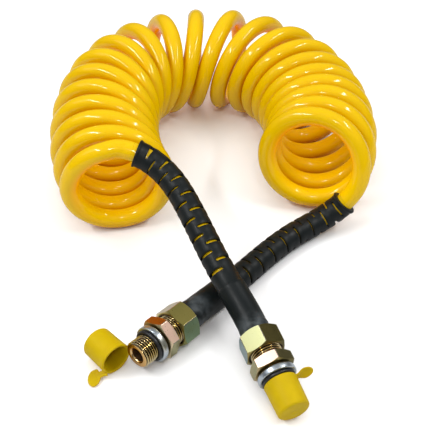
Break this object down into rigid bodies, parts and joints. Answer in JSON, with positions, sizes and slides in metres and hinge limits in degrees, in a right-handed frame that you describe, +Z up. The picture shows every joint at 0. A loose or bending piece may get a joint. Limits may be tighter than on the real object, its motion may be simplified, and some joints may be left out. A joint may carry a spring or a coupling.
{
  "type": "coiled air hose assembly",
  "caption": "Coiled yellow plastic air hose lying in a horseshoe, each end in a slotted black bend sleeve with a hexagonal union nut, threaded port fitting and push-on dust cap.",
  "frame": {"origin": "centre of the assembly's box, at its base, where the coil rests on the floor", "axes": "+Z up, the shortest side of the box; +Y from the two fittings towards the back of the horseshoe, the longest side; +X from the left arm to the right arm"},
  "size_m": [0.2183, 0.3441, 0.0793],
  "materials": {
    "hose": "glossy, slightly translucent polyamide",
    "sleeve": "satin",
    "nut": "yellow passivated zinc on steel",
    "body": "yellow passivated zinc on steel",
    "cutting_ring": "turned",
    "insert": "turned",
    "backing_ring": "bright zinc",
    "o_ring": "smooth",
    "cap": "satin polyethylene"
  },
  "bodies": {
    "coil": {"coil_main": "hose"},
    "left_inner": {"coil_left_inner": "hose"},
    "left_outer": {"coil_left_outer": "hose"},
    "lead_a": {"hose_lead_a": "hose", "bend_sleeve_a": "sleeve", "fitting_body_a": "body", "cutting_ring_a": "cutting_ring", "tube_insert_a": "insert", "backing_ring_a": "backing_ring", "o_ring_a": "o_ring"},
    "lead_b": {"hose_lead_b": "hose", "bend_sleeve_b": "sleeve", "fitting_body_b": "body", "cutting_ring_b": "cutting_ring", "tube_insert_b": "insert", "backing_ring_b": "backing_ring", "o_ring_b": "o_ring"},
    "nut_a": {"union_nut_a": "nut"},
    "nut_b": {"union_nut_b": "nut"},
    "cap_a": {"dust_cap_a": "cap"},
    "cap_b": {"dust_cap_b": "cap"}
  },
  "joints": [
    {"name": "stretch_inner", "type": "slide", "parent": "coil", "child": "left_inner", "axis": [-0.12, -0.9928, 0], "range_m": [0, 0.022]},
    {"name": "stretch_outer", "type": "slide", "parent": "left_inner", "child": "left_outer", "axis": [-0.12, -0.9928, 0], "range_m": [0, 0.022]},
    {"name": "lead_a_lift", "type": "hinge", "parent": "left_outer", "child": "lead_a", "pos_m": [-0.04891, -0.02009, 0.06773], "axis": [-0.9502, 0.1645, 0.2647], "range_deg": [0, 30]},
    {"name": "lead_b_swing", "type": "hinge", "parent": "coil", "child": "lead_b", "pos_m": [0.08704, -0.01834, 0.02368], "axis": [0, 0, 1], "range_deg": [0, 3.5]},
    {"name": "nut_a_turn", "type": "hinge", "parent": "lead_a", "child": "nut_a", "pos_m": [0.02674, -0.12911, 0.01781], "axis": [0.3665, -0.9141, -0.1736], "continuous": true},
    {"name": "nut_b_turn", "type": "hinge", "parent": "lead_b", "child": "nut_b", "pos_m": [-0.01981, -0.11023, 0.01342], "axis": [-0.6519, -0.7551, 0.0698], "continuous": true},
    {"name": "cap_a_pull", "type": "slide", "parent": "lead_a", "child": "cap_a", "axis": [0.3665, -0.9141, -0.1736], "range_m": [0, 0.013]},
    {"name": "cap_b_lift", "type": "slide", "parent": "coil", "child": "cap_b", "axis": [0, 0, 1], "range_m": [0, 0.05]}
  ]
}
